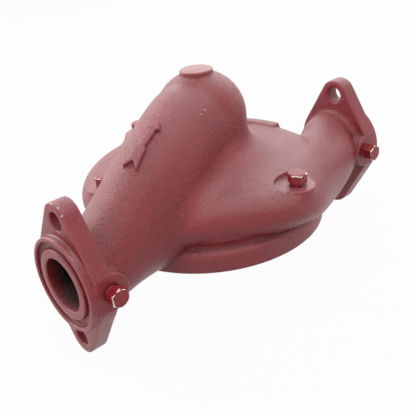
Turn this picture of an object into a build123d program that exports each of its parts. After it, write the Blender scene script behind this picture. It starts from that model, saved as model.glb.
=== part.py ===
from build123d import *
from math import cos, pi, radians, sin
import os

# In-line circulator volute casing. Millimetres, Z up along the pump axis,
# origin at the centre of the machined motor face, inlet flange towards -X.

# Pipe line: both flanges share one axis, which runs in front of the pump axis.
FLANGE_FACE_X = 136.0
PIPE_Y = -20.0
PIPE_Z = 18.0
BORE_R = 17.2

# How far a cutter runs past the face that it leaves.
CUT_OVERRUN = 1.0

# Two-bolt flange.
RAISED_R = 30.2
RAISED_H = 4.7
PLATE_T = 11.8
PLATE_R = 32.0
LOBE_R = 11.4
BOLT_SPACING = 80.2
BOLT_HOLE_R = 5.9
GROOVE_OUTER_R = 27.6
GROOVE_INNER_R = 22.8
GROOVE_DEPTH = 3.2
PIPE_WALL = 8.3
NECK_R = BORE_R + PIPE_WALL
# Fillet behind the plate, set a little into the pipe, and how far pipes run into the plate.
COLLAR_FILLET_R = 5.0
COLLAR_SINK = 1.5
ROOT = 4.0
PLATE_FRONT_X = FLANGE_FACE_X - RAISED_H
PLATE_BACK_X = PLATE_FRONT_X - PLATE_T

# Hex-head pipe plug and the tapping it screws into, the same in all places.
PLUG_FLATS = 11.1
PLUG_HEAD_H = 6.4
PLUG_CHAMFER_SLOPE = 1.7
PLUG_CHAMFER_INSET = 0.2
PLUG_STAND_OFF = 1.9
PLUG_SHANK_R = 4.95
PLUG_SHANK_DEPTH = 8.0
PLUG_CLEARANCE = 0.05
TAP_R = PLUG_SHANK_R + PLUG_CLEARANCE

# Gauge tapping beside each flange, facing the front.
GAUGE_X = PLATE_FRONT_X - 10.3
GAUGE_PAD_R = 12.0
GAUGE_FLAT_DEPTH = 2.0
GAUGE_PAD_Y = PIPE_Y - PLATE_R + GAUGE_FLAT_DEPTH
GAUGE_TAP_OVERRUN = 2.0

# Tappings on top of the scroll: name, x, y, height of the pad.
SCROLL_TAPS = [
    ("front", 9.0, -76.0, 41.5),
    ("left", -68.2, 26.2, 41.5),
    ("back", 3.0, 79.0, 45.0),
]
TAP_BOSS_R = 11.5
TAP_BOSS_FOOT_Z = 27.0
SPOT_FACE_R = 14.5
SPOT_FACE_REACH = 20.0
SCROLL_TAP_DEPTH = 12.0

# Motor side.
RING_R = 80.5
RING_H = 11.0
RING_EDGE_R = 3.0
LEDGE_ROOT_R = 1.5
WALL_R = 75.5
WALL_TOP_Z = 17.5
REGISTER_R = 66.0
REGISTER_DEPTH = 4.0
CHAMBER_R = 62.5
CHAMBER_TOP_Z = 37.0
MOTOR_BOLT_CIRCLE_R = 73.2
MOTOR_BOLT_COUNT = 8
MOTOR_TAP_R = 3.25
MOTOR_TAP_DEPTH = 8.5
# Room for the motor bracket below the face, cut out of the discharge neck.
MOTOR_SPACE_H = 20.0
MOTOR_SPACE_GAP = 2.0

# Suction dome over the impeller eye.
DOME_R = 31.0
DOME_Z = 75.5
DOME_CHEEK_Z = 68.0
DOME_WALL = 5.5
EYE_R = 19.0
EYE_COLLAR_R = 25.5
EYE_COLLAR_H = 4.0
THROAT_BOTTOM_Z = 50.0
BOSS_R = 11.1
BOSS_RISE = 1.2
BOSS_H = 20.0
BOSS_TOP_Z = DOME_Z + DOME_R + BOSS_RISE
# Curve from the wall over the scroll's shoulder, then up the foot of the dome.
SHOULDER_POINTS = [(WALL_R + 2.5, 26.0), (WALL_R - 2.5, 38.0), (WALL_R - 15.5, 44.3)]
DOME_FOOT_POINTS = [(DOME_R + 18.0, 46.8), (DOME_R + 6.5, 54.0)]
CROWN_SLOPE = 0.12

# Scroll: angle, centre radius, centre height, half width, half height.
SCROLL = [
    (8, 65.0, 30.5, 18.5, 12.5),
    (35, 66.0, 30.0, 21.0, 13.8),
    (70, 67.0, 29.5, 22.0, 14.5),
    (110, 67.0, 29.0, 22.2, 15.0),
    (155, 67.0, 28.5, 21.7, 15.5),
    (200, 66.0, 29.0, 20.5, 15.0),
    (240, 62.5, 29.0, 17.0, 15.0),
    (268, 66.5, 29.0, 22.5, 15.0),
]
# Shoulder that carries the scroll section across behind the discharge neck.
SHOULDER = (65.5, 30.5, 19.8, 13.2)
SHOULDER_ANGLES = (-50.0, 14.0)
SCROLL_SIDE_WALL = 6.5
SCROLL_TOP_WALL = 5.5

# Discharge neck: x, y, heading in plan, then height and radius outside,
# then height, half width and half height inside.
NECK = [
    (40.0, -52.0, 22.0, 20.5, 24.0, 27.0, 15.0, 11.5),
    (78.0, -39.0, 21.0, 18.0, 22.5, 20.5, 16.5, 16.0),
    (102.0, -26.5, 16.0, 18.0, 23.5, 18.5, 17.0, 17.0),
    (PLATE_BACK_X + ROOT, PIPE_Y, 0.0, PIPE_Z, NECK_R, PIPE_Z, BORE_R, BORE_R),
]

# Suction pipe outside, upright sections: x, centre line at the bottom and at the top,
# height of the bottom and of the top, half width, rise of the crown.
SUCTION_OUT = [
    (-PLATE_BACK_X - ROOT, PIPE_Y, PIPE_Y, PIPE_Z - NECK_R, PIPE_Z + NECK_R, NECK_R, 1.0),
    (-110.0, PIPE_Y, PIPE_Y, PIPE_Z - 23.5, PIPE_Z + 31.5, 25.8, 1.08),
    (-98.0, PIPE_Y - 0.5, PIPE_Y, PIPE_Z - 20.0, 58.5, 26.2, 1.15),
    (-80.0, -21.0, -18.5, 0.5, 74.0, 26.8, 1.2),
    (-60.0, -21.5, -15.0, 2.0, 87.0, 28.0, 1.15),
    (-40.0, -16.5, -9.5, 4.0, 96.3, 28.8, 1.08),
    (-20.0, -7.0, -4.5, 6.0, 102.0, 29.2, 1.02),
    (5.0, 0.0, -1.0, 10.0, 103.5, 27.5, 1.0),
]
SECTION_ARC_STEPS = 6
# Suction pipe inside: x, y, z, heading, climb, half width, half height.
SUCTION_IN = [
    (-PLATE_BACK_X - ROOT, PIPE_Y, PIPE_Z, 0.0, 0.0, BORE_R, BORE_R),
    (-106.0, PIPE_Y, PIPE_Z + 4.0, 0.0, 28.0, 17.6, 16.0),
    (-90.0, -19.8, 40.0, 3.0, 44.0, 19.5, 11.5),
    (-70.0, -17.5, 57.0, 8.0, 38.0, 20.5, 11.0),
    (-45.0, -12.0, 67.0, 13.0, 20.0, 21.5, 14.0),
    (-10.0, -2.5, 74.0, 15.0, 0.0, 22.0, 17.0),
]

# Flow arrow cast on the crown of the suction pipe.
ARROW_START = (-84.0, -19.5, 35.5)
ARROW_HEADING = 8.0
ARROW_CLIMB = 37.6
ARROW_ROLL = 13.0
ARROW_H = 3.0
ARROW_REACH = 60.0
ARROW_OUTLINE = [
    (60.0, 0.0), (54.0, 5.0), (54.0, 2.4), (40.0, 2.4), (40.0, 3.6), (24.0, 5.4),
    (30.0, 0.0), (24.0, -5.4), (40.0, -3.6), (40.0, -2.4), (54.0, -2.4), (54.0, -5.0),
]

# Raised arc pad on the back edge of the scroll.
ARC_PAD_R = (71.5, 78.5)
ARC_PAD_ANGLES = (0.0, 50.0)
ARC_PAD_TOP_Z = 45.0


def section_plane(x, y, z, heading, climb):
    """Plane across the flow at a point, its X axis level."""
    flow = Vector(
        cos(radians(climb)) * cos(radians(heading)),
        cos(radians(climb)) * sin(radians(heading)),
        sin(radians(climb)),
    )
    level = Vector(sin(radians(heading)), -cos(radians(heading)), 0)
    return Plane(origin=(x, y, z), x_dir=level, z_dir=flow)


def scroll_sections(side_wall, top_wall):
    faces = []
    for angle, radius, height, half_w, half_h in SCROLL:
        a = radians(angle)
        plane = section_plane(radius * cos(a), radius * sin(a), height, angle + 90, 0)
        faces.append(plane * Ellipse(half_w - side_wall, half_h - top_wall))
    return faces


def scroll_outside():
    faces = scroll_sections(0, 0)
    for x, y, heading, z, r, _, _, _ in NECK:
        faces.append(section_plane(x, y, z, heading, 0) * Ellipse(r, r))
    return loft(faces)


def shoulder():
    radius, height, half_w, half_h = SHOULDER
    start, end = SHOULDER_ANGLES
    section = Plane.XZ * Pos(radius, height) * Ellipse(half_w, half_h)
    return Rot(0, 0, start) * revolve(section, Axis.Z, end - start)


def scroll_inside():
    faces = scroll_sections(SCROLL_SIDE_WALL, SCROLL_TOP_WALL)
    for x, y, heading, _, _, z, half_w, half_h in NECK:
        faces.append(section_plane(x, y, z, heading, 0) * Ellipse(half_w, half_h))
    return loft(faces)


def upright_section(x, y_low, y_high, low, high, half_w, rise):
    """Face across the suction pipe: round crown, straight sides, round bottom."""
    crown_z = high - half_w * rise
    foot_z = low + half_w
    points = []
    for i in range(SECTION_ARC_STEPS):
        a = pi * (i + 0.5) / SECTION_ARC_STEPS
        points.append((half_w * cos(a), crown_z + half_w * rise * sin(a)))
    points.append((-half_w, (crown_z + foot_z) / 2))
    for i in range(SECTION_ARC_STEPS):
        a = pi + pi * (i + 0.5) / SECTION_ARC_STEPS
        points.append((half_w * cos(a), foot_z + half_w * sin(a)))
    points.append((half_w, (crown_z + foot_z) / 2))
    placed = []
    for out, z in points:
        lean = y_low + (y_high - y_low) * (z - low) / (high - low)
        placed.append((x, lean + out, z))
    return make_face(Spline(*placed, periodic=True))


def suction_outside(extra=0.0):
    """Pipe from the inlet flange to the dome, with the web below it."""
    faces = []
    for x, y_low, y_high, low, high, half_w, rise in SUCTION_OUT:
        faces.append(upright_section(x, y_low, y_high, low - extra, high + extra, half_w + extra, rise))
    return loft(faces)


def suction_inside():
    faces = []
    for x, y, z, heading, climb, half_w, half_h in SUCTION_IN:
        faces.append(section_plane(x, y, z, heading, climb) * Ellipse(half_w, half_h))
    return loft(faces)


def turned_outside():
    """Ring, scroll shoulder and dome in one profile turned about the pump axis."""
    with BuildSketch(Plane.XZ) as profile:
        with BuildLine():
            foot = Line((0, 0), (RING_R, 0))
            rim = Line(foot @ 1, (RING_R, RING_H - RING_EDGE_R))
            corner = JernArc(rim @ 1, (0, 1), RING_EDGE_R, 90)
            ledge = Line(corner @ 1, (WALL_R + LEDGE_ROOT_R, RING_H))
            root = JernArc(ledge @ 1, (-1, 0), LEDGE_ROOT_R, -90)
            side = Line(root @ 1, (WALL_R, WALL_TOP_Z))
            over = Spline(side @ 1, *SHOULDER_POINTS, tangents=[(1, 1), (-1, CROWN_SLOPE)])
            foot_of_dome = Spline(over @ 1, *DOME_FOOT_POINTS, (DOME_R, DOME_CHEEK_Z),
                                  tangents=[(-1, CROWN_SLOPE), (0, 1)])
            cheek = Line(foot_of_dome @ 1, (DOME_R, DOME_Z))
            crown = JernArc(cheek @ 1, (0, 1), DOME_R, 90)
            Line(crown @ 1, (0, 0))
        make_face()
    return revolve(profile.sketch, Axis.Z)


def turned_inside():
    """Motor register, impeller chamber, eye and dome hollow."""
    hollow_r = DOME_R - DOME_WALL
    collar_z = CHAMBER_TOP_Z - EYE_COLLAR_H
    with BuildSketch(Plane.XZ) as profile:
        with BuildLine():
            Polyline(
                (0, DOME_Z), (0, -CUT_OVERRUN), (REGISTER_R, -CUT_OVERRUN), (REGISTER_R, REGISTER_DEPTH),
                (CHAMBER_R, REGISTER_DEPTH), (CHAMBER_R, CHAMBER_TOP_Z), (EYE_COLLAR_R, CHAMBER_TOP_Z),
                (EYE_COLLAR_R, collar_z), (EYE_R, collar_z), (EYE_R, THROAT_BOTTOM_Z),
                (hollow_r, DOME_Z), (0, DOME_Z),
            )
        make_face()
    return revolve(profile.sketch, Axis.Z) + Pos(0, 0, DOME_Z) * Sphere(hollow_r)


def flange(side):
    """Two-bolt plate with its raised face; side is -1 for the inlet."""
    plane = Plane(origin=(side * PLATE_BACK_X, PIPE_Y, PIPE_Z), x_dir=(0, 1, 0), z_dir=(side, 0, 0))
    half = BOLT_SPACING / 2
    outline = Circle(PLATE_R)
    for k in (-1, 1):
        outline += Pos(0, k * half) * Circle(LOBE_R)
    plate = extrude(plane * make_hull(outline.edges()), PLATE_T)
    plate += extrude(plane * Circle(RAISED_R), PLATE_T + RAISED_H)
    return plate + collar(side)


def collar(side):
    """Casting fillet between the plate and the pipe behind it."""
    end_r = NECK_R - COLLAR_SINK
    with BuildSketch(Plane.XY) as profile:
        with BuildLine():
            back = Line((-ROOT, 0), (-ROOT, end_r + COLLAR_FILLET_R))
            edge = Line(back @ 1, (0, end_r + COLLAR_FILLET_R))
            curve = JernArc(edge @ 1, (0, -1), COLLAR_FILLET_R, 90)
            Polyline(curve @ 1, (COLLAR_FILLET_R, 0), (-ROOT, 0))
        make_face()
    ring = revolve(profile.sketch, Axis.X)
    place = Plane(origin=(side * PLATE_BACK_X, PIPE_Y, PIPE_Z), x_dir=(-side, 0, 0), z_dir=(0, 0, 1))
    return place * ring


def flange_cuts(side):
    """Bolt holes, gasket groove and bore of one flange."""
    cuts = []
    for k in (-1, 1):
        centre = (side * (PLATE_BACK_X - CUT_OVERRUN), PIPE_Y, PIPE_Z + k * BOLT_SPACING / 2)
        hole = Plane(origin=centre, z_dir=(side, 0, 0)) * Circle(BOLT_HOLE_R)
        cuts.append(extrude(hole, PLATE_T + 2 * CUT_OVERRUN))
    face = Plane(origin=(side * FLANGE_FACE_X, PIPE_Y, PIPE_Z), z_dir=(-side, 0, 0))
    cuts.append(extrude(face * (Circle(GROOVE_OUTER_R) - Circle(GROOVE_INNER_R)), GROOVE_DEPTH))
    return cuts


def core():
    """All the water passages and the motor-side opening as one solid."""
    solid = turned_inside() + scroll_inside() + suction_inside()
    for side in (-1, 1):
        face = Plane(origin=(side * FLANGE_FACE_X, PIPE_Y, PIPE_Z), z_dir=(-side, 0, 0))
        solid += extrude(face * Circle(BORE_R), FLANGE_FACE_X - PLATE_BACK_X - ROOT)
    return solid


def gauge_block(side, y, depth):
    """Block over the gauge boss that ends at the plate's front, centred at y."""
    length = 2 * GAUGE_PAD_R
    place = Pos(side * (PLATE_FRONT_X - length / 2), y, PIPE_Z)
    return place * Box(length, depth, length + GAUGE_FLAT_DEPTH)


def gauge_boss(side):
    """Round boss behind the plate, from the pipe line to the gauge flat."""
    plane = Plane(origin=(side * GAUGE_X, PIPE_Y, PIPE_Z), z_dir=(0, -1, 0))
    depth = PIPE_Y - GAUGE_PAD_Y
    boss = extrude(plane * Circle(GAUGE_PAD_R), depth)
    return boss & gauge_block(side, PIPE_Y, 2 * depth)


def gauge_cuts(side):
    """Flat milled across boss and plate edge, and the tapping into the bore."""
    flat = gauge_block(side, GAUGE_PAD_Y - GAUGE_PAD_R, 2 * GAUGE_PAD_R)
    plane = Plane(origin=(side * GAUGE_X, GAUGE_PAD_Y, PIPE_Z), z_dir=(0, 1, 0))
    hole = extrude(plane * Circle(TAP_R), PIPE_Y - BORE_R - GAUGE_PAD_Y + GAUGE_TAP_OVERRUN)
    return [flat, hole]


def arrow():
    """Raised flow arrow: its outline pushed out through a slightly fatter pipe."""
    along = section_plane(*ARROW_START, ARROW_HEADING, ARROW_CLIMB)
    flow = along.z_dir
    crown = flow.cross(along.x_dir)
    if crown.Z < 0:
        crown = crown * -1
    out = crown * cos(radians(ARROW_ROLL)) + along.x_dir * sin(radians(ARROW_ROLL))
    plane = Plane(origin=ARROW_START, x_dir=flow, z_dir=out)
    prism = extrude(plane * make_face(Polyline(*ARROW_OUTLINE, close=True)), ARROW_REACH)
    return prism & suction_outside(ARROW_H)


def arc_pad():
    inner, outer = ARC_PAD_R
    start, end = ARC_PAD_ANGLES
    height = ARC_PAD_TOP_Z - RING_H
    strip = Plane.XZ * Pos((inner + outer) / 2, RING_H + height / 2) * Rectangle(outer - inner, height)
    return Rot(0, 0, start) * revolve(strip, Axis.Z, end - start)


def plug(plane):
    """Hex-head pipe plug standing on a plane whose Z points out of the casing."""
    shank = extrude(plane * Circle(PLUG_SHANK_R), PLUG_STAND_OFF)
    shank += extrude(plane * Circle(PLUG_SHANK_R), -PLUG_SHANK_DEPTH)
    head_plane = plane.offset(PLUG_STAND_OFF)
    corner_r = PLUG_FLATS / 2 / cos(radians(30))
    head = extrude(head_plane * RegularPolygon(corner_r, 6), PLUG_HEAD_H)
    top = head_plane.offset(PLUG_HEAD_H)
    spread = corner_r + PLUG_HEAD_H * PLUG_CHAMFER_SLOPE
    crown = top.offset(-PLUG_HEAD_H / 2) * Cone(spread, PLUG_FLATS / 2 - PLUG_CHAMFER_INSET, PLUG_HEAD_H)
    return shank + (head & crown)


def casing():
    body = turned_outside() + shoulder() + scroll_outside()
    for _, x, y, z in SCROLL_TAPS:
        body += Pos(x, y, (z + TAP_BOSS_FOOT_Z) / 2) * Cylinder(TAP_BOSS_R, z - TAP_BOSS_FOOT_Z)
        body -= Pos(x, y, z + SPOT_FACE_REACH / 2) * Cylinder(SPOT_FACE_R, SPOT_FACE_REACH)
    body += suction_outside()
    body += Pos(0, 0, BOSS_TOP_Z - BOSS_H / 2) * Cylinder(BOSS_R, BOSS_H)
    for side in (-1, 1):
        body += flange(side)
        body += gauge_boss(side)
    body += arrow()
    body += arc_pad()
    body -= Pos(0, 0, -MOTOR_SPACE_H / 2) * Cylinder(RING_R + MOTOR_SPACE_GAP, MOTOR_SPACE_H)
    body -= core()
    for side in (-1, 1):
        for cut in flange_cuts(side) + gauge_cuts(side):
            body -= cut
    for _, x, y, z in SCROLL_TAPS:
        body -= Pos(x, y, z - SCROLL_TAP_DEPTH / 2) * Cylinder(TAP_R, SCROLL_TAP_DEPTH)
    for spot in PolarLocations(MOTOR_BOLT_CIRCLE_R, MOTOR_BOLT_COUNT):
        body -= spot * Pos(0, 0, MOTOR_TAP_DEPTH / 2) * Cylinder(MOTOR_TAP_R, MOTOR_TAP_DEPTH)
    return body


os.makedirs("parts", exist_ok=True)
export_step(casing(), "parts/volute_casing.step")
for name, side in (("inlet", -1), ("outlet", 1)):
    plane = Plane(origin=(side * GAUGE_X, GAUGE_PAD_Y, PIPE_Z), z_dir=(0, -1, 0))
    export_step(plug(plane), f"parts/{name}_gauge_plug.step")
for name, x, y, z in SCROLL_TAPS:
    export_step(plug(Plane(origin=(x, y, z))), f"parts/{name}_scroll_plug.step")
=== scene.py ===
import math

import bpy
import numpy as np
import openvdb
from mathutils import Matrix, Vector


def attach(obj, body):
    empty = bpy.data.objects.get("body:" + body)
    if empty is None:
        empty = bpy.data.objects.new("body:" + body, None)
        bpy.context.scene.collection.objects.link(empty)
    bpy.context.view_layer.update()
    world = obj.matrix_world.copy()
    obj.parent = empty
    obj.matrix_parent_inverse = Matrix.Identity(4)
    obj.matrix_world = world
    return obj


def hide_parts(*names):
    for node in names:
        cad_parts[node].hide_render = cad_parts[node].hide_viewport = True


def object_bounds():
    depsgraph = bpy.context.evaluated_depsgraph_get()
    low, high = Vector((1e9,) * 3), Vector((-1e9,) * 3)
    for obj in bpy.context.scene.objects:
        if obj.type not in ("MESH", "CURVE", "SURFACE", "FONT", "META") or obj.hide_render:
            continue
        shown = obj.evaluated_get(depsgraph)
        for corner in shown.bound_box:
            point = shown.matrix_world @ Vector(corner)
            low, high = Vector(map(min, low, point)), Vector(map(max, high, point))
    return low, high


# Cast volute casing in red enamel on a white studio floor. Metres, same frame as the solids.

MM = 0.001
IMAGE_PX = 416

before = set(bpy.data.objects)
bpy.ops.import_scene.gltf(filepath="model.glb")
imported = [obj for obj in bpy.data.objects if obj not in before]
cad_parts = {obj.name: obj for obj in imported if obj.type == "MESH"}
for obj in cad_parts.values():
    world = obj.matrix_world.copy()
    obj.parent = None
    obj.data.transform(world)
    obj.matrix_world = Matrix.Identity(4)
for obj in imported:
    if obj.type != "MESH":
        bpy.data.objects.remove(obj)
cad_low, cad_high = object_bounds()


def linear(hex_colour):
    """sRGB hex to the linear colour that a shader takes."""
    out = []
    for i in (0, 2, 4):
        c = int(hex_colour[i:i + 2], 16) / 255
        out.append(c / 12.92 if c <= 0.04045 else ((c + 0.055) / 1.055) ** 2.4)
    return (*out, 1.0)


# Camera at the photo's angle, found from the flanges, plugs and ring.
CAM_YAW = -40.26
CAM_PITCH = 27.64
CAM_ROLL = -6.16
CAM_DISTANCE = 476.34 * MM
CAM_SHIFT = (2.29 * MM, -3.52 * MM)
FOCAL_PX = 650.27
SENSOR = 36


def make_camera():
    yaw, pitch, roll = (math.radians(v) for v in (CAM_YAW, CAM_PITCH, CAM_ROLL))
    back = Vector((math.sin(yaw) * math.cos(pitch), -math.cos(yaw) * math.cos(pitch), math.sin(pitch)))
    level = Vector((math.cos(yaw), math.sin(yaw), 0))
    up = back.cross(level)
    right = math.cos(roll) * level + math.sin(roll) * up
    top = -math.sin(roll) * level + math.cos(roll) * up
    place = Matrix((right, top, back)).transposed().to_4x4()
    place.translation = -CAM_SHIFT[0] * right - CAM_SHIFT[1] * top + CAM_DISTANCE * back
    data = bpy.data.cameras.new("photo_camera")
    data.sensor_width = SENSOR
    data.lens = FOCAL_PX * SENSOR / IMAGE_PX
    data.clip_start = 0.01
    camera = bpy.data.objects.new("photo_camera", data)
    camera.matrix_world = place
    bpy.context.scene.collection.objects.link(camera)
    bpy.context.scene.camera = camera


def add(tree, kind, settings, links=()):
    """Adds a node. Settings hold its properties and its sockets' values, links its sockets' sources."""
    node = tree.nodes.new(kind)
    for name, value in settings.items():
        if isinstance(name, str) and hasattr(node, name):
            setattr(node, name, value)
        else:
            node.inputs[name].default_value = value
    for name, output in dict(links).items():
        tree.links.new(output, node.inputs[name])
    return node


def new_material(name):
    material = bpy.data.materials.new(name)
    material.use_nodes = True
    material.node_tree.nodes.clear()
    return material, material.node_tree


# Studio: a white floor and a white surround, seen as white by the camera and in reflections.
FLOOR_Z = cad_low.z
FLOOR_HALF = 3.0
FLOOR_GLOW = 0.96
SURROUND_LIGHT = 0.55


def seen_directly(tree):
    """1 where a camera, mirror or glass ray looks at the surface itself, 0 for the light it gives."""
    path = add(tree, "ShaderNodeLightPath", {})
    mirror = add(tree, "ShaderNodeMath", {"operation": "MAXIMUM"},
                 {0: path.outputs["Is Camera Ray"], 1: path.outputs["Is Glossy Ray"]})
    return add(tree, "ShaderNodeMath", {"operation": "MAXIMUM"},
               {0: mirror.outputs[0], 1: path.outputs["Is Transmission Ray"]}).outputs[0]


def make_floor():
    mesh = bpy.data.meshes.new("studio_floor")
    corners = ((-1, -1), (1, -1), (1, 1), (-1, 1))
    mesh.from_pydata([(FLOOR_HALF * x, FLOOR_HALF * y, FLOOR_Z) for x, y in corners], [], [(0, 1, 2, 3)])
    floor = bpy.data.objects.new("studio_floor", mesh)
    bpy.context.scene.collection.objects.link(floor)
    material, tree = new_material("white_paper_floor")
    paper = add(tree, "ShaderNodeBsdfDiffuse", {"Color": linear("A8A8A8")})
    glow = add(tree, "ShaderNodeEmission", {"Color": (1, 1, 1, 1), "Strength": 1.0})
    share = add(tree, "ShaderNodeMath", {"operation": "MULTIPLY", 1: FLOOR_GLOW}, {0: seen_directly(tree)})
    both = add(tree, "ShaderNodeMixShader", {}, {0: share.outputs[0], 1: paper.outputs[0], 2: glow.outputs[0]})
    add(tree, "ShaderNodeOutputMaterial", {}, {"Surface": both.outputs[0]})
    mesh.materials.append(material)


def make_world():
    world = bpy.data.worlds.new("studio_surround")
    world.use_nodes = True
    tree = world.node_tree
    tree.nodes.clear()
    light = add(tree, "ShaderNodeBackground", {"Color": (1, 1, 1, 1), "Strength": SURROUND_LIGHT})
    white = add(tree, "ShaderNodeBackground", {"Color": (1, 1, 1, 1), "Strength": 1.0})
    both = add(tree, "ShaderNodeMixShader", {}, {0: seen_directly(tree), 1: light.outputs[0], 2: white.outputs[0]})
    add(tree, "ShaderNodeOutputWorld", {}, {"Surface": both.outputs[0]})
    bpy.context.scene.world = world


# Softboxes round the part: way round from +X and height, in degrees, watts and width.
LAMP_DISTANCE = 1.0
LAMPS = (
    ("back_left_softbox", 108, 28, 5.7, 0.6),
    ("back_softbox", 52, 28, 1.6, 0.6),
    ("back_right_softbox", 15, 28, 2.1, 0.6),
    ("overhead_softbox", 250, 74, 2.6, 0.35),
    ("left_softbox", 190, 15, 1.6, 0.6),
    ("right_softbox", 312, 20, 1.3, 0.6),
)


def soft_light(name, way, height, energy, side):
    data = bpy.data.lights.new(name, "AREA")
    data.energy = energy
    data.shape = "SQUARE"
    data.size = side
    light = bpy.data.objects.new(name, data)
    way, height = math.radians(way), math.radians(height)
    place = LAMP_DISTANCE * Vector((math.cos(way) * math.cos(height), math.sin(way) * math.cos(height),
                                    math.sin(height)))
    light.location = place
    light.rotation_euler = (-place).to_track_quat("-Z", "Y").to_euler()
    light.visible_camera = False
    bpy.context.scene.collection.objects.link(light)


# Skin of the casting. The solids' creases become the rolled fillets of a sand casting:
# the skin is blown outwards by the fillet radius and drawn in again, which fills the hollow corners alone.
VOXEL = 0.55
COARSE = 2 * VOXEL
WEB_FILLET = 12.0
SMALL_FILLET = 1.6
EDGE_ROUND = 0.8
EASE_PASSES = 36
EASE_REACH = 12.0
BAND = 3
MARGIN = 4
SKIN_TRIANGLES = 190000
SCROLL_TAPS = ((9.0, -76.0, 41.5), (-68.2, 26.2, 41.5), (3.0, 79.0, 45.0))


def mesh_arrays(obj):
    mesh = obj.data
    mesh.calc_loop_triangles()
    points = np.empty(len(mesh.vertices) * 3, np.float32)
    mesh.vertices.foreach_get("co", points)
    corners = np.empty(len(mesh.loop_triangles) * 3, np.int32)
    mesh.loop_triangles.foreach_get("vertices", corners)
    return points.reshape(-1, 3) / MM, corners.reshape(-1, 3).astype(np.uint32), None


def level_set(surface, reach, voxel):
    points, triangles, quads = surface
    scale = openvdb.createLinearTransform(voxelSize=voxel)
    return openvdb.FloatGrid.createLevelSetFromPolygons(
        points, triangles=triangles, quads=quads, transform=scale, halfWidth=reach / voxel + BAND)


def offset_surface(surface, distance, voxel):
    return level_set(surface, abs(distance), voxel).convertToPolygons(isovalue=distance)


def dense(grid, low, shape):
    field = np.empty(shape, np.float32)
    grid.copyToArray(field, ijk=low)
    return field


def ramp(value, start, end):
    """0 up to start, 1 from end on, smooth between."""
    t = np.clip((value - start) / (end - start), 0, 1)
    return t * t * (3 - 2 * t)


def blurred(field):
    for axis in range(3):
        field = (np.roll(field, 1, axis) + 2 * field + np.roll(field, -1, axis)) / 4
    return field


def doubled(field):
    """The coarse field at twice as many points."""
    for axis in range(3):
        between = (field + np.roll(field, -1, axis)) / 2
        pair = np.stack([field, between], axis + 1)
        shape = list(field.shape)
        shape[axis] *= 2
        field = pair.reshape(shape)
    return field


# Sizes of the solids that the masks below follow, in mm.
PIPE_Y = -20
PIPE_Z = 18
BORE_R = 17.2
SPOT_FACE_R = 14.5
TAP_HOLE_R = 5.0
ARROW_HALF_W = 11.0
ARROW_MIDDLE = -4.0

# Round shoulder between the motor ring's rim and the wall above it: its arc, the arc's centre and where it ends.
SHOULDER_R = 5.0
SHOULDER_CENTRE = (75.5, 9.4)
SHOULDER_INNER_R = 72
SHOULDER_FOOT_Z = 4


def crown_line(x):
    """Middle of the suction pipe's crown in plan."""
    return np.interp(x, (-110, -98, -80, -60, -40, -20), (-20, -20, -18.5, -15, -9.5, -4.5))


def web_share(x, y, z):
    """Where the large fillet runs: round the suction pipe, the dome and the scroll's outside."""
    top_pad = ramp(z, 88, 94) * (1 - ramp(np.hypot(x, y), 15, 21))
    share = (1 - ramp(np.abs(x), 92, 104)) * ramp(z, 24, 40) * (1 - top_pad)
    crown = ramp(z, 56, 66) * (1 - ramp(x, -42, -35))
    share = share * (1 - crown)
    for px, py, pad in SCROLL_TAPS:
        away = np.hypot(x - px, y - py)
        below = ramp(z, 13, 22) * (1 - ramp(away, 22, 34)) * ramp(away, TAP_HOLE_R + 1, TAP_HOLE_R + 4)
        share = np.maximum(share, below * (1 - ramp(np.abs(x), 60, 66)))
        cut = ramp(z, pad - 0.6, pad) * (1 - ramp(away, SPOT_FACE_R, SPOT_FACE_R + 3))
        hole = 1 - ramp(away, TAP_HOLE_R + 1, TAP_HOLE_R + 4)
        share = share * (1 - np.maximum(cut, hole))
    back_pad = ramp(np.hypot(x, y), 60, 66) * ramp(x, 20, 34) * ramp(y, -14, -4)
    return share * (1 - back_pad)


def machined_share(x, y, z):
    """Where a tool has cut the casting, so that its faces are smooth."""
    share = ramp(np.abs(x), 130.4, 131.4) + 0 * y + 0 * z
    share = np.maximum(share, ramp(-y, 49.2, 49.8) * ramp(np.abs(x), 104, 106) + 0 * z)
    share = np.maximum(share, ramp(-z, -0.9, -0.3) * ramp(np.hypot(x, y), 60, 64))
    share = np.maximum(share, ramp(z, 106.6, 107.4) + 0 * x + 0 * y)
    for px, py, pad in SCROLL_TAPS:
        level = ramp(z, pad - 0.8, pad - 0.3) * (1 - ramp(z, pad + 0.5, pad + 1))
        share = np.maximum(share, level * (1 - ramp(np.hypot(x - px, y - py), 14, 15)))
    return share


def unpainted_and_shaded_share(points):
    """1 on the walls of the passages and the chamber's roof, 0 at their mouths: unpainted iron there, darkened to
    near-black as painted shade for the little light that reaches in.
    """
    x, y, z = points.T
    bore = 1 - ramp(np.hypot(y - PIPE_Y, z - PIPE_Z), BORE_R + 0.8, BORE_R + 1.4)
    bore = bore * (1 - ramp(np.abs(x), 126, 135)) * ramp(np.abs(x), 100, 106)
    chamber = (1 - ramp(np.hypot(x, y), 61, 63)) * ramp(z, 2, 30) * (1 - ramp(z, 31.5, 32.5))
    return np.maximum(bore, chamber)


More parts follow.
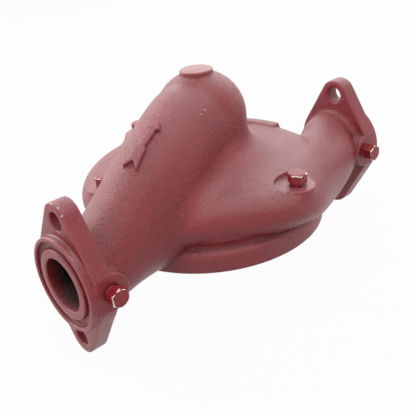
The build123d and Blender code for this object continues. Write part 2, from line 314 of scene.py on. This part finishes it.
def crisp_share(x, y, z):
    """Where edges are left as the solids have them: flange fronts, pads, ring, arrow."""
    share = ramp(np.abs(x), 123, 127) + 0 * y + 0 * z
    share = np.maximum(share, ramp(-y, 44, 47) * ramp(np.abs(x), 100, 104) + 0 * z)
    share = np.maximum(share, (1 - ramp(z, 14, 18)) * ramp(np.hypot(x, y), 60, 64) * (1 - ramp(np.abs(x), 76, 84)))
    share = np.maximum(share, ramp(z, 103, 105) + 0 * x + 0 * y)
    on_arrow = ramp(z, 44, 48) * (1 - ramp(x, -36, -30)) * ramp(x, -96, -90)
    beside = np.abs(y - crown_line(x) - ARROW_MIDDLE)
    share = np.maximum(share, on_arrow * (1 - ramp(beside, ARROW_HALF_W, ARROW_HALF_W + 3)))
    for px, py, pad in SCROLL_TAPS:
        away = np.hypot(x - px, y - py)
        share = np.maximum(share, ramp(z, pad - 3, pad - 1) * (1 - ramp(away, 15, 18)))
    return share


def ring_shoulder(x, y, z):
    """Distance to the ring's round shoulder, which fills the corner between the rim and the wall."""
    away = np.hypot(x, y)
    out, up = away - SHOULDER_CENTRE[0], z - SHOULDER_CENTRE[1]
    arc = np.hypot(np.maximum(out, 0), np.maximum(up, 0)) + np.minimum(np.maximum(out, up), 0) - SHOULDER_R
    return np.maximum(arc, np.maximum(SHOULDER_INNER_R - away, SHOULDER_FOOT_Z - z))


def eased_dome(field, low):
    """The coarse field with the shallow valley between the dome and the suction pipe's crown smoothed away."""
    x, y, z = ((np.arange(field.shape[i], dtype=np.float32) + low[i]) * np.float32(COARSE) for i in range(3))
    away = np.hypot(x[:, None, None], y[None, :, None])
    share = ramp(z[None, None, :], 78, 90) * ramp(away, 15, 21) * (1 - ramp(away, 46, 56))
    eased = field
    for _ in range(EASE_PASSES):
        eased = blurred(eased)
    return field + (eased - field) * share.astype(np.float32)


def cast_field(surface):
    """Signed distance to the cast skin on a fine grid, the grid's first index and its machined share."""
    points = surface[0]
    low = np.floor(points.min(0) / COARSE).astype(int) - MARGIN
    high = np.ceil(points.max(0) / COARSE).astype(int) + MARGIN
    coarse_shape = tuple(int(n) for n in high - low + 1)
    coarse_low = tuple(int(n) for n in low)
    shape = tuple(2 * n for n in coarse_shape)
    low = tuple(2 * n for n in coarse_low)
    x, y, z = ((np.arange(shape[i], dtype=np.float32) + low[i]) * np.float32(VOXEL) for i in range(3))
    x, y, z = x[:, None, None], y[None, :, None], z[None, None, :]
    reach = BAND * VOXEL
    filled = offset_surface(surface, SMALL_FILLET, VOXEL)
    filled = offset_surface(filled, -SMALL_FILLET - EDGE_ROUND, VOXEL)
    small = dense(level_set(filled, EDGE_ROUND, VOXEL), low, shape) - EDGE_ROUND
    webbed = offset_surface(surface, WEB_FILLET, COARSE)
    large = dense(level_set(webbed, WEB_FILLET + EASE_REACH, COARSE), coarse_low, coarse_shape)
    large = eased_dome(large, coarse_low)
    large = np.minimum(doubled(large) + WEB_FILLET, small)
    field = small + (large - small) * web_share(x, y, z).astype(np.float32)
    exact = dense(level_set(surface, 0, VOXEL), low, shape)
    exact = np.minimum(exact, ring_shoulder(x, y, z).astype(np.float32))
    field = np.clip(field, -reach, reach)
    field += (np.clip(exact, -reach, reach) - field) * crisp_share(x, y, z).astype(np.float32)
    return blurred(field), low, machined_share(x, y, z).astype(np.float32)


def cast_mesh(name, field, low, machined):
    grid = openvdb.FloatGrid(BAND * VOXEL)
    grid.copyFromArray(field, ijk=low)
    grid.transform = openvdb.createLinearTransform(voxelSize=VOXEL)
    grid.gridClass = openvdb.GridClass.LEVEL_SET
    points, triangles, quads = grid.convertToPolygons(isovalue=0.0)
    mesh = bpy.data.meshes.new(name)
    faces = [f[::-1] for f in triangles.tolist() + quads.tolist()]
    mesh.from_pydata((points * MM).tolist(), [], faces)
    mesh = thinned(mesh, SKIN_TRIANGLES / (len(triangles) + 2 * len(quads)))
    points = np.empty(len(mesh.vertices) * 3, np.float32)
    mesh.vertices.foreach_get("co", points)
    at = tuple((np.rint(points.reshape(-1, 3) / MM / VOXEL).astype(int) - np.array(low)).T)
    # How far each point stands out from its surroundings: above 0 on edges, below 0 in creases. The enamel turns it
    # into a painted highlight on edges and painted shade in creases.
    spread = blurred(blurred(blurred(field))) - field
    normals = np.empty(len(points), np.float32)
    mesh.vertex_normals.foreach_get("vector", normals)
    for word, values in (("edge", spread[at]), ("machined", machined[at]), ("up", normals[2::3]),
                         ("inside", unpainted_and_shaded_share(points.reshape(-1, 3) / MM))):
        layer = mesh.attributes.new(word, "FLOAT", "POINT")
        layer.data.foreach_set("value", values.astype(np.float32))
    mesh.shade_smooth()
    return mesh


def thinned(mesh, ratio):
    """The same skin with fewer triangles, larger where it is flat."""
    holder = bpy.data.objects.new("skin_to_thin", mesh)
    bpy.context.scene.collection.objects.link(holder)
    modifier = holder.modifiers.new("thin", "DECIMATE")
    modifier.ratio = ratio
    graph = bpy.context.evaluated_depsgraph_get()
    thin = bpy.data.meshes.new_from_object(holder.evaluated_get(graph))
    bpy.data.objects.remove(holder)
    bpy.data.meshes.remove(mesh)
    thin.name = "volute_casing_cast"
    return thin


def make_casing():
    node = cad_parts["volute_casing"]
    mesh = cast_mesh("volute_casing_cast", *cast_field(mesh_arrays(node)))
    cast = bpy.data.objects.new("volute_casing_cast", mesh)
    bpy.context.scene.collection.objects.link(cast)
    mesh.materials.append(casing_enamel())
    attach(cast, "root")
    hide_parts("volute_casing")


# Pipe plugs: foot of the head's stand-off, way out, and way of one corner. Sizes as in the solids.
PLUGS = {
    "inlet_gauge_plug": ((-121.0, -50.0, 18.0), (0, -1, 0), (0, 0, 1)),
    "outlet_gauge_plug": ((121.0, -50.0, 18.0), (0, -1, 0), (0, 0, 1)),
    "front_scroll_plug": ((9.0, -76.0, 41.5), (0, 0, 1), (1, 0, 0)),
    "left_scroll_plug": ((-68.2, 26.2, 41.5), (0, 0, 1), (1, 0, 0)),
    "back_scroll_plug": ((3.0, 79.0, 45.0), (0, 0, 1), (1, 0, 0)),
}
FLATS = 11.1
HEAD_H = 6.4
STAND_OFF = 1.9
SHANK_R = 4.95
SHANK_DEPTH = 8.0
CROWN_R = 5.2
CROWN_FALL = 0.57
CORNER_CUT = 0.12
THREAD_PITCH = 0.94
THREAD_DEPTH = 0.5
THREAD_STEPS = 6
TURN_OFFSETS = (0, 1, 2.5, 5, 9, 14, 20, 26, 30, 34, 40, 46, 51, 55, 57.5, 59)


def hex_radius(angle):
    """Distance from the axis to the hexagon's side, with its corners a little blunt."""
    off = (angle + math.pi / 6) % (math.pi / 3) - math.pi / 6
    corner = FLATS / 2 / math.cos(math.pi / 6)
    return min(FLATS / 2 / math.cos(math.pi / 6 - abs(off)), corner - CORNER_CUT)


def head_rings(angles):
    """Rings of (radius, height, wear) from the crown's middle down to the underside of the head."""
    sides = [hex_radius(a) for a in angles]
    rim = [HEAD_H - (r - CROWN_R) * CROWN_FALL for r in sides]
    corner = [max(0, (r - FLATS / 2) / (FLATS / 2 / math.cos(math.pi / 6) - FLATS / 2)) for r in sides]
    rings = [[(1.6, HEAD_H - 0.1, 0)] * len(angles), [(CROWN_R - 0.5, HEAD_H - 0.06, 0)] * len(angles),
             [(CROWN_R, HEAD_H - 0.12, 0.5)] * len(angles)]
    for inset, drop, wear in ((0.28, 0.02, 0.8), (0.08, 0.06, 1.0), (0, 0.26, 0.9), (0, 0.8, 0.35)):
        rings.append([(r - inset, z - drop, max(wear, c ** 3 * 0.9)) for r, z, c in zip(sides, rim, corner)])
    for height, inset, wear in ((3.0, 0, 0.0), (0.9, 0, 0.0), (0.3, 0, 0.35), (0.08, 0.1, 0.6), (0, 0.35, 0.2)):
        rings.append([(r - inset, height, max(wear, c ** 4 * 0.75 if height < 5 else 0))
                      for r, c in zip(sides, corner)])
    return rings


def shank_rings(angles):
    """Screw thread from the head's underside down, cut as one helix."""
    rings = []
    depth = STAND_OFF + SHANK_DEPTH
    steps = int(depth / THREAD_PITCH * THREAD_STEPS)
    for i in range(steps + 1):
        z = -depth * i / steps
        ring = []
        for a in angles:
            turn = (z / THREAD_PITCH + a / (2 * math.pi)) % 1
            ring.append((SHANK_R - THREAD_DEPTH * (1 - abs(2 * turn - 1)), z, 0))
        rings.append(ring)
    return rings


def plug_mesh(name, foot, out, corner_way):
    angles = [math.radians(60 * side + turn) for side in range(6) for turn in TURN_OFFSETS]
    rings = head_rings(angles) + shank_rings(angles)
    axis, across = Vector(out), Vector(corner_way)
    third = axis.cross(across)
    centre = Vector(foot) + STAND_OFF * axis
    points, wear = [centre + (HEAD_H - 0.1) * axis], [0.0]
    for ring in rings:
        for a, (r, z, w) in zip(angles, ring):
            points.append(centre + z * axis + r * (math.cos(a) * across + math.sin(a) * third))
            wear.append(w)
    points.append(centre - (STAND_OFF + SHANK_DEPTH) * axis)
    wear.append(0.0)
    count = len(angles)
    faces = [(0, 1 + i, 1 + (i + 1) % count) for i in range(count)]
    for row in range(len(rings) - 1):
        base = 1 + row * count
        for i in range(count):
            j = (i + 1) % count
            faces.append((base + i, base + count + i, base + count + j, base + j))
    base = 1 + (len(rings) - 1) * count
    faces += [(len(points) - 1, base + (i + 1) % count, base + i) for i in range(count)]
    mesh = bpy.data.meshes.new(name)
    mesh.from_pydata([p * MM for p in points], [], faces)
    layer = mesh.attributes.new("wear", "FLOAT", "POINT")
    layer.data.foreach_set("value", wear)
    mesh.shade_smooth()
    mesh.set_sharp_from_angle(angle=math.radians(40))
    return mesh


def make_plugs():
    paints = {"inlet_gauge_plug": plug_enamel("red_enamel_worn_by_a_spanner", 0.9)}
    other = plug_enamel("red_enamel_on_forged_steel", 0.55)
    for name, (foot, out, corner_way) in PLUGS.items():
        mesh = plug_mesh(name + "_threaded", foot, out, corner_way)
        plug = bpy.data.objects.new(name + "_threaded", mesh)
        bpy.context.scene.collection.objects.link(plug)
        mesh.materials.append(paints.get(name, other))
        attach(plug, "root")
        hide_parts(name)


def per_metre(size_mm):
    """Texture scale that gives features of about this size."""
    return 1 / (size_mm * MM)


def two_tones(tree, source, low, high):
    """Colour ramp between two positions and colours."""
    node = add(tree, "ShaderNodeValToRGB", {}, {"Fac": source})
    for element, (position, colour) in zip(node.color_ramp.elements, (low, high)):
        element.position = position
        element.color = linear(colour)
    return node.outputs["Color"]


def mixed(tree, blend, factor, first, second):
    """Mixes two colours. A factor that varies is linked, a fixed one is set."""
    fixed = isinstance(factor, float)
    node = add(tree, "ShaderNodeMix", {"data_type": "RGBA", "blend_type": blend, **({0: factor} if fixed else {})},
               {} if fixed else {0: factor})
    for socket, colour in ((6, first), (7, second)):
        if isinstance(colour, str):
            node.inputs[socket].default_value = linear(colour)
        else:
            tree.links.new(colour, node.inputs[socket])
    return node.outputs[2]


def spread_between(tree, value, start, end, low, high):
    return add(tree, "ShaderNodeMapRange", {"From Min": start, "From Max": end, "To Min": low, "To Max": high},
               {"Value": value}).outputs[0]


# Chips in the enamel: place and radius.
CHIPS = (
    ((-130.6, -19.2, 69.0), 1.3), ((-130.0, -25.1, 68.1), 1.2), ((-130.5, -28.8, 64.6), 1.1),
    ((-24.6, -28.8, 89.5), 0.7), ((-20.0, -27.6, 90.6), 0.7), ((-87.6, -8.6, 64.7), 0.8),
    ((-1.0, -86.4, 21.5), 0.7), ((-0.8, -78.0, 13.7), 0.7), ((2.4, -78.6, 13.4), 0.5),
)


def chip_amount(tree, place, grain):
    """Above 0 inside a chip, whose rim follows the grain."""
    nearest = None
    for centre, radius in CHIPS:
        far = add(tree, "ShaderNodeVectorMath", {"operation": "DISTANCE", 1: [c * MM for c in centre]}, {0: place})
        near = add(tree, "ShaderNodeMath", {"operation": "MULTIPLY_ADD", 1: -1 / (radius * MM), 2: 1.0},
                   {0: far.outputs["Value"]})
        nearest = near if nearest is None else add(
            tree, "ShaderNodeMath", {"operation": "MAXIMUM"}, {0: nearest.outputs[0], 1: near.outputs[0]})
    rough = add(tree, "ShaderNodeMath", {"operation": "MULTIPLY_ADD", 1: 2.0, 2: -1.15}, {0: grain})
    total = add(tree, "ShaderNodeMath", {"operation": "ADD"}, {0: nearest.outputs[0], 1: rough.outputs[0]})
    return spread_between(tree, total.outputs[0], 0.0, 0.15, 0.0, 1.0)


def casing_enamel():
    """Red enamel sprayed on sand-cast iron: a satin film that shows the sand's grain below it."""
    material, tree = new_material("red_enamel_on_sand_cast_iron")
    place = add(tree, "ShaderNodeTexCoord", {}).outputs["Object"]
    edge = add(tree, "ShaderNodeAttribute", {"attribute_name": "edge"}).outputs["Fac"]
    machined = add(tree, "ShaderNodeAttribute", {"attribute_name": "machined"}).outputs["Fac"]
    # Moulding sand is about 0.3 mm; its clumps are drawn at 1.5 mm, and the single grains at 0.8 mm.
    clumps = add(tree, "ShaderNodeTexNoise", {"Scale": per_metre(1.5), "Detail": 3.0, "Roughness": 0.7},
                 {"Vector": place}).outputs["Fac"]
    grains = add(tree, "ShaderNodeTexVoronoi", {"Scale": per_metre(0.8)}, {"Vector": place}).outputs["Distance"]
    # Shallow unevenness of the mould wall, and patches of thicker and thinner film.
    waves = add(tree, "ShaderNodeTexNoise", {"Scale": per_metre(6.0), "Detail": 2.0, "Roughness": 0.5},
                {"Vector": place}).outputs["Fac"]
    patches = add(tree, "ShaderNodeTexNoise", {"Scale": per_metre(28.0), "Detail": 3.0, "Roughness": 0.55},
                  {"Vector": place}).outputs["Fac"]
    film = two_tones(tree, patches, (0.35, "8F2A31"), (0.65, "9A3038"))
    grit = two_tones(tree, clumps, (0.34, "D2D2D2"), (0.6, "FFFFFF"))
    film = mixed(tree, "MULTIPLY", 1.0, film, grit)
    # Painted highlight: convex edges are mixed toward a paler pink, partly for the thinner paint there and partly
    # standing in for the sheen that edges catch.
    edge_thin_paint_and_highlight = spread_between(tree, edge, 0.03, 0.22, 0.0, 0.4)
    film = mixed(tree, "MIX", edge_thin_paint_and_highlight, film, "B4585D")
    # Painted shade: creases and hollow corners are mixed toward a dark crimson, standing in for the shade that falls
    # there.
    painted_crease_shade = spread_between(tree, edge, -0.03, -0.2, 0.0, 0.65)
    film = mixed(tree, "MIX", painted_crease_shade, film, "4E0F15")
    # Painted shade: the passages' walls are mixed toward near-black, partly for the unpainted iron and partly standing
    # in for the shade deep inside.
    inside = add(tree, "ShaderNodeAttribute", {"attribute_name": "inside"}).outputs["Fac"]
    film = mixed(tree, "MIX", inside, film, "1C1211")
    # Painted sheen: what faces up is mixed toward a pale pinkish grey, broken up by the sand's grain, standing in for
    # the glossy reflection of the light above.
    up = add(tree, "ShaderNodeAttribute", {"attribute_name": "up"}).outputs["Fac"]
    level = spread_between(tree, up, 0.5, 1.0, 0.0, 0.2)
    sheen_through_grain = add(tree, "ShaderNodeMath", {"operation": "MULTIPLY_ADD", 1: 1.2, 2: 0.4}, {0: clumps}).outputs[0]
    painted_top_sheen = add(tree, "ShaderNodeMath", {"operation": "MULTIPLY"}, {0: level, 1: sheen_through_grain}).outputs[0]
    film = mixed(tree, "MIX", painted_top_sheen, film, "BFA2A3")
    bare = chip_amount(tree, place, clumps)
    colour = mixed(tree, "MIX", bare, film, "A9A5A1")
    lump = add(tree, "ShaderNodeBump", {"Strength": 0.15, "Distance": 0.0009}, {"Height": waves}).outputs["Normal"]
    cast_grain = spread_between(tree, machined, 0.0, 1.0, 0.85, 0.25)
    sand = add(tree, "ShaderNodeBump", {"Distance": 0.0009},
               {"Strength": cast_grain, "Height": clumps, "Normal": lump}).outputs["Normal"]
    fine = add(tree, "ShaderNodeBump", {"Strength": 0.25, "Distance": 0.0001},
               {"Height": grains, "Normal": sand}).outputs["Normal"]
    gloss = spread_between(tree, patches, 0.3, 0.7, 0.28, 0.36)
    shader = add(tree, "ShaderNodeBsdfPrincipled", {"IOR": 1.5, "Specular IOR Level": 0.5},
                 {"Base Color": colour, "Roughness": gloss, "Normal": fine})
    add(tree, "ShaderNodeOutputMaterial", {}, {"Surface": shader.outputs[0]})
    return material


def plug_enamel(name, wear_most):
    """Smooth red enamel on forged steel, rubbed to bright metal on the corners."""
    material, tree = new_material(name)
    place = add(tree, "ShaderNodeTexCoord", {}).outputs["Object"]
    wear = add(tree, "ShaderNodeAttribute", {"attribute_name": "wear"}).outputs["Fac"]
    scuffs = add(tree, "ShaderNodeTexNoise", {"Scale": per_metre(1.6), "Detail": 3.0, "Roughness": 0.6},
                 {"Vector": place}).outputs["Fac"]
    orange_peel = add(tree, "ShaderNodeTexNoise", {"Scale": per_metre(0.9), "Detail": 2.0, "Roughness": 0.5},
                      {"Vector": place}).outputs["Fac"]
    film = two_tones(tree, scuffs, (0.35, "86161D"), (0.65, "982028"))
    # A spanner bears on a few corners only, so the rubbing comes and goes over about half the head.
    sides = add(tree, "ShaderNodeTexNoise", {"Scale": per_metre(7.0), "Detail": 1.0}, {"Vector": place}).outputs["Fac"]
    borne = spread_between(tree, sides, 0.42, 0.58, wear_most - 0.45, wear_most)
    rubbed = add(tree, "ShaderNodeMath", {"operation": "MULTIPLY_ADD", 2: -0.75}, {0: wear, 1: borne})
    rubbed = add(tree, "ShaderNodeMath", {"operation": "MULTIPLY_ADD", 1: 0.7}, {0: scuffs, 2: rubbed.outputs[0]})
    bare = spread_between(tree, rubbed.outputs[0], 0.0, 0.06, 0.0, 1.0)
    skin = add(tree, "ShaderNodeBump", {"Strength": 0.3, "Distance": 0.00015}, {"Height": orange_peel})
    paint = add(tree, "ShaderNodeBsdfPrincipled", {"IOR": 1.5, "Roughness": 0.32},
                {"Base Color": film, "Normal": skin.outputs["Normal"]})
    steel = add(tree, "ShaderNodeBsdfPrincipled",
                {"Base Color": linear("D6D4D0"), "Metallic": 1.0, "Roughness": 0.28},
                {"Normal": skin.outputs["Normal"]})
    both = add(tree, "ShaderNodeMixShader", {}, {0: bare, 1: paint.outputs[0], 2: steel.outputs[0]})
    add(tree, "ShaderNodeOutputMaterial", {}, {"Surface": both.outputs[0]})
    return material


make_camera()
make_world()
make_floor()
for lamp in LAMPS:
    soft_light(*lamp)
make_casing()
make_plugs()

scene = bpy.context.scene
scene.view_settings.view_transform = "Standard"
